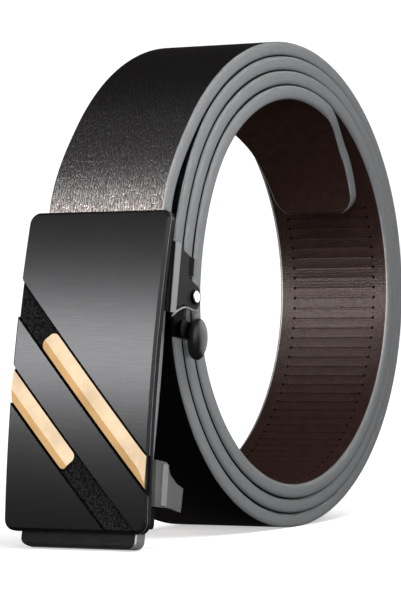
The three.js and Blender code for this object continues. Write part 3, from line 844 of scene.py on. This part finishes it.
def lever_mesh():
    reach = AXIS_DEPTH - run_rear(0) - 2 * (SHAFT_RADIUS + SHAFT_CLEARANCE)
    height = PLATE_DROP - math.sqrt((FRONT_RADIUS + FRONT_DENT) ** 2 - reach ** 2)
    depth = run_rear(height) + SHAFT_CLEARANCE + SHAFT_RADIUS
    arm_inner = CHEEK_OUTER + SEAT_GAP
    arm_outer = arm_inner + ARM_THICKNESS
    mesh = bmesh.new()
    prism(mesh, ring(depth, height, SHAFT_RADIUS, SHAFT_RADIUS, 24), -CHEEK_OUTER - 0.4, arm_inner + 0.3)
    tip = run_rear(height - PAWL_LENGTH) + SEAT_GAP
    blade = (
        (depth - 0.5, height), (tip, height - PAWL_LENGTH), (tip + 1, height - PAWL_LENGTH), (depth + 0.5, height),
    )
    prism(mesh, blade, -PAWL_HALF_WIDTH, PAWL_HALF_WIDTH)
    low, high = height - ARM_DROP, height - ARM_DROP + ARM_HEIGHT
    arm = []
    for turn_depth, turn_height, start in (
        (depth + ARM_REAR - ARM_CORNER, low + ARM_CORNER, -90),
        (depth + ARM_REAR - ARM_CORNER, high - ARM_CORNER, 0),
        (depth - ARM_FRONT + ARM_CORNER, high - ARM_CORNER, 90),
        (depth - ARM_FRONT + ARM_CORNER, low + ARM_CORNER, 180),
    ):
        for i in range(7):
            turn = math.radians(start + 15 * i)
            arm.append((turn_depth + ARM_CORNER * math.cos(turn), turn_height + ARM_CORNER * math.sin(turn)))
    prism(mesh, arm, arm_inner, arm_outer)
    knob_depth, knob_height = depth + KNOB_REACH, height - KNOB_DROP
    levels = [(-0.1, 0.86), (0.2, 0.93), (0.6, 0.98), (1.1, 1.0)]
    levels += [(1.1 + 2.0 * math.sin(math.radians(a)), math.cos(math.radians(a)) ** 0.8) for a in range(9, 90, 9)]
    rings = []
    for out, share in levels:
        spots = ring(knob_depth, knob_height, KNOB_HALF_DEPTH * share, KNOB_HALF_HEIGHT * share)
        rings.append([mesh.verts.new(at(h, d, arm_outer + out) * MM) for d, h in spots])
    skin(mesh, rings, material_index=1)
    return finished(mesh, "lever_black")


lever = make_object("lever_black", lever_mesh(), (ARM_BLACK, KNOB_BLACK), "lever", "release_lever", slot="frame")
soften(lever, 0.2)


# The rolled lower edge of each cheek, in light grey as a painted highlight along it
def bead_mesh(side):
    mesh = bmesh.new()
    points = []
    for row in CHEEK_FOOT:
        height = CHEEK_BOTTOM + CHEEK_HEIGHT * row[0]
        points.append((plate_back(height) + SEAT_GAP + CHEEK_DEPTH * row[1], height))
    way = []
    for i in range(len(points) - 1):
        for k in range(6):
            t = k / 6
            before = points[max(0, i - 1)]
            after = points[min(len(points) - 1, i + 2)]
            spot = [
                0.5 * (2 * q + (r - p) * t + (2 * p - 5 * q + 4 * r - n) * t * t + (3 * q - p - 3 * r + n) * t ** 3)
                for p, q, r, n in zip(before, points[i], points[i + 1], after)
            ]
            way.append(spot)
    way.append(points[-1])
    rings = []
    for i, (depth, height) in enumerate(way):
        before, after = way[max(0, i - 1)], way[min(len(way) - 1, i + 1)]
        tangent = Vector((after[0] - before[0], after[1] - before[1])).normalized()
        loop = []
        for k in range(10):
            turn = 2 * math.pi * k / 10
            offset = BEAD_RADIUS * math.cos(turn)
            x = side * (CHEEK_OUTER - 0.05 + BEAD_RADIUS * math.sin(turn))
            loop.append(mesh.verts.new(at(height + tangent.x * offset, depth - tangent.y * offset, x) * MM))
        rings.append(loop)
    skin(mesh, rings, smooth=True)
    return finished(mesh, "cheek_bead")


for name, side in (("cheek_bead_near", 1), ("cheek_bead_far", -1)):
    make_object(name, bead_mesh(side), (PAINTED_HIGHLIGHT_GREY,), "belt", slot="frame")

# Carried-over nodes
NODE_MATERIALS = {
    "groove_inlay_upper": INLAY, "groove_inlay_lower": INLAY, "gold_bar_upper": GOLD, "gold_bar_lower": GOLD,
    "buckle_frame": FRAME_METAL, "strap_clamp": CLAMP_METAL, "rivet_near": RIVET_METAL,
    "rivet_far": RIVET_METAL,
}
for name, material in NODE_MATERIALS.items():
    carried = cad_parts[name]
    for material_slot in carried.material_slots:
        material_slot.material = material

# Floor, light and camera
bpy.ops.mesh.primitive_grid_add(x_subdivisions=8, y_subdivisions=8, size=12, location=(0, 3, 0))
floor = bpy.context.object
floor.name = "floor"
floor_material, floor_nodes, floor_links, floor_shader = new_material("floor_pale")
floor_place = floor_nodes.new("ShaderNodeTexCoord").outputs["Object"]
floor_tint = colours(floor_nodes, (0.3, (0.90, 0.90, 0.90)), (0.7, (0.93, 0.93, 0.93)))
floor_links.new(noise(floor_nodes, floor_links, floor_place, 3), floor_tint.inputs["Fac"])
floor_links.new(floor_tint.outputs["Color"], floor_shader.inputs["Base Color"])
floor_shader.inputs["Roughness"].default_value = 0.9
floor_shader.inputs["Specular IOR Level"].default_value = 0.0
floor_links.new(floor_tint.outputs["Color"], floor_shader.inputs["Emission Color"])
floor_shader.inputs["Emission Strength"].default_value = 0.52
floor.data.materials.append(floor_material)
floor.visible_glossy = False
floor.visible_diffuse = False


def studio_world():
    """White where the camera looks, soft fill for matt surfaces and a darker room for reflections."""
    world = bpy.data.worlds.new("studio")
    world.use_nodes = True
    nodes, links = world.node_tree.nodes, world.node_tree.links
    background = nodes["Background"]
    rays = nodes.new("ShaderNodeLightPath")
    parts = nodes.new("ShaderNodeSeparateXYZ")
    links.new(nodes.new("ShaderNodeTexCoord").outputs["Generated"], parts.inputs["Vector"])
    low = maths(nodes, links, "ABSOLUTE", parts.outputs["Z"])
    lobe = maths(nodes, links, "SUBTRACT", parts.outputs["Y"], maths(nodes, links, "MULTIPLY", low, 1.6))
    room = colours(nodes, (0.0, (ROOM_DARK,) * 3), (0.45, (ROOM_DARK * 1.5,) * 3), (0.95, (ROOM_REAR,) * 3))
    links.new(lobe, room.inputs["Fac"])
    seen = nodes.new("ShaderNodeMixRGB")
    links.new(rays.outputs["Is Glossy Ray"], seen.inputs["Fac"])
    seen.inputs["Color1"].default_value = (ROOM_FILL, ROOM_FILL, ROOM_FILL, 1)
    links.new(room.outputs["Color"], seen.inputs["Color2"])
    final = mixed(nodes, links, rays.outputs["Is Camera Ray"], seen.outputs["Color"], (1.1, 1.1, 1.1))
    links.new(final, background.inputs["Color"])
    background.inputs["Strength"].default_value = 1.0
    return world


ROOM_DARK, ROOM_REAR, ROOM_FILL = 0.012, 0.45, 0.38
bpy.context.scene.world = studio_world()


def area_light(name, place, target, size, power, colour=(1, 1, 1)):
    lamp = bpy.data.lights.new(name, "AREA")
    lamp.shape = "RECTANGLE"
    lamp.size, lamp.size_y = size
    lamp.energy = power
    lamp.color = colour
    made = bpy.data.objects.new(name, lamp)
    bpy.context.scene.collection.objects.link(made)
    made.location = place
    made.rotation_euler = (Vector(target) - Vector(place)).to_track_quat("-Z", "Y").to_euler()
    return made


def softbox(name, azimuth, elevation, spread, radiance, distance=1.1):
    """A light seen from the buckle at an azimuth from -Y towards -X, as wide and high as its spread in degrees."""
    turn, lift = math.radians(azimuth), math.radians(elevation)
    way = Vector((-math.sin(turn) * math.cos(lift), -math.cos(turn) * math.cos(lift), math.sin(lift)))
    size = [2 * distance * math.tan(math.radians(part / 2)) for part in spread]
    target = Vector((0, -0.068, 0.045))
    power = radiance * math.pi * size[0] * size[1]
    return area_light(name, target + way * distance, target, size, power)


def light_only(lamp, *receivers):
    """Shows a light only in the reflections of the named pieces."""
    group = bpy.data.collections.new(lamp.name + "_receivers")
    for receiver in receivers:
        group.objects.link(receiver)
    lamp.light_linking.receiver_collection = group
    lamp.visible_diffuse = False


for name, azimuth in (("right_front_softbox", -55), ("right_rear_softbox", -130)):
    softbox(name, azimuth, 30, (60, 45), 1.5).visible_diffuse = False
light_only(softbox("top_softbox", 39, 62, (30, 22), 3.6), strap)
gold_bars = [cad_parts[name] for name in ("gold_bar_upper", "gold_bar_lower")]
rivets = [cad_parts[name] for name in ("rivet_near", "rivet_far")]
light_only(softbox("plate_softbox", 32, 18, (24, 8), 1.65), plate)
light_only(softbox("lever_softbox", -150, 12, (60, 60), 1.6), lever, *rivets)
inner_light = softbox("inner_softbox", 32, 10, (22, 6), 1300.0)
inner_light.data.color = (1, 0.84, 0.79)
light_only(inner_light, strap)
light_only(softbox("leather_softbox", 39, 35, (30, 18), 50.0), strap)
light_only(softbox("gold_softbox", 20, 24, (26, 34), 1.15), *gold_bars)
light_only(softbox("gold_end_softbox", -6, 18, (20, 30), 1.1), *gold_bars)
gold_low = softbox("gold_low_softbox", 60, -4, (44, 26), 0.85)
gold_low.data.color = (1, 0.80, 0.52)
light_only(gold_low, *gold_bars)
edge_key = area_light("edge_key", (0.12, -0.10, 0.22), (0.017, -0.01, 0.08), (0.08, 0.08), 0.36)
edge_key.visible_glossy = False
low_key = area_light("low_key", (0.15, -0.17, 0.035), (0.018, -0.045, 0.03), (0.07, 0.05), 0.24)
low_key.visible_glossy = False

sun = bpy.data.lights.new("top_sun", "SUN")
sun.energy = 1.3
sun.angle = math.radians(55)
top_sun = bpy.data.objects.new("top_sun", sun)
top_sun.rotation_euler = (math.radians(-22), math.radians(14), 0)
top_sun.visible_glossy = False
bpy.context.scene.collection.objects.link(top_sun)

camera_data = bpy.data.cameras.new("camera")
camera_data.sensor_fit = "HORIZONTAL"
camera_data.sensor_width = 36
camera_data.lens = 297.8
camera = bpy.data.objects.new("camera", camera_data)
bpy.context.scene.collection.objects.link(camera)
camera.location = (0.44558, -0.76278, 0.07130)
camera.rotation_euler = [math.radians(part) for part in (89.3143, 1.0747, 30.6856)]
bpy.context.scene.camera = camera
bpy.context.scene.view_settings.view_transform = "Standard"
